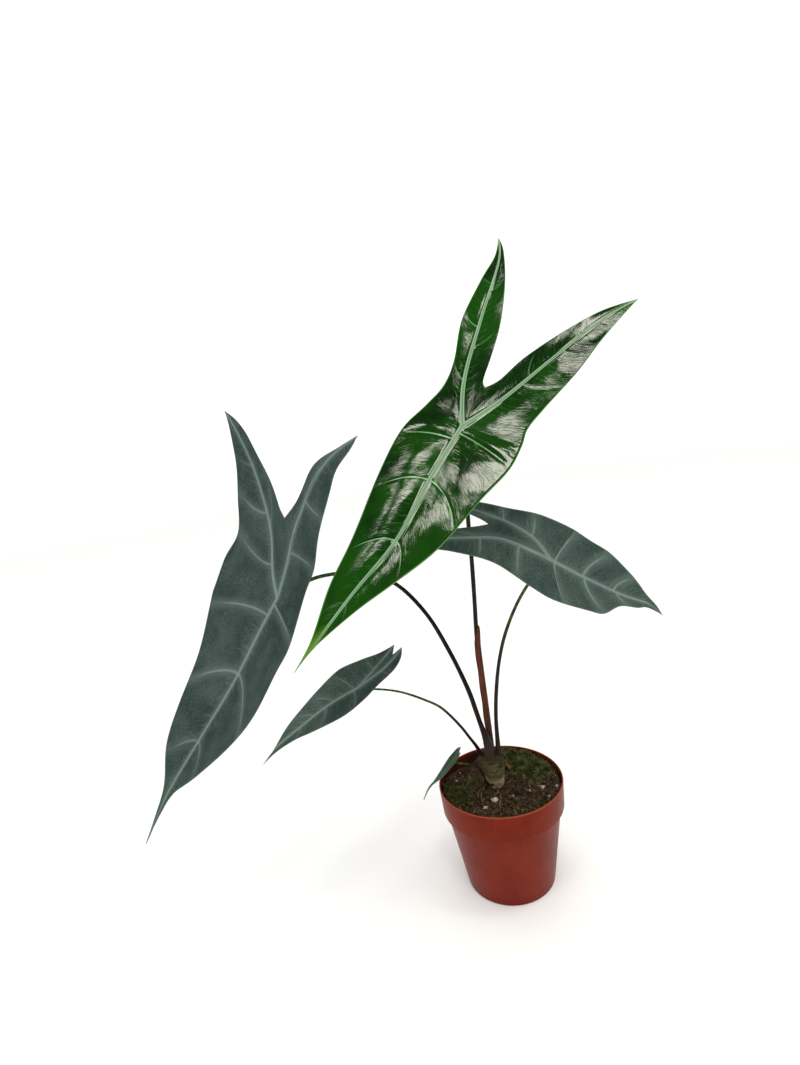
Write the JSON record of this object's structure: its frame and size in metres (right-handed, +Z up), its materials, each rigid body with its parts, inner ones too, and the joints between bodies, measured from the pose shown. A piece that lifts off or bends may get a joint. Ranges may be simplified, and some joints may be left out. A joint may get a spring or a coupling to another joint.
{
  "type": "potted alocasia longiloba",
  "caption": "Young potted arrowhead-leaved aroid: long-lobed leaf blades on slender stalks from a knobbly rootstock, in a thin nursery pot filled with soil.",
  "frame": {"origin": "middle of the pot's flat base, on the surface that it stands on", "axes": "+Z up along the pot's axis, -Y towards the side that the largest leaf faces, +X to its right as seen from there"},
  "size_m": [0.4744, 0.2191, 0.615],
  "materials": {
    "pot": "satin",
    "soil": "matte",
    "rootstock": "matte",
    "bud": "satin",
    "sheath": "satin",
    "stalk": "satin",
    "glossy_leaf": "gloss",
    "matt_leaf": "satin"
  },
  "bodies": {
    "root": {"pot": "pot", "soil": "soil", "rootstock": "rootstock", "bud": "bud", "sheath": "sheath", "stalk_tall": "stalk", "stalk_left": "stalk", "stalk_right": "stalk", "stalk_low": "stalk", "stalk_small": "stalk", "blade_tall": "glossy_leaf", "blade_left": "matt_leaf", "blade_right": "matt_leaf", "blade_low": "matt_leaf", "blade_small": "matt_leaf"}
  },
  "joints": []
}
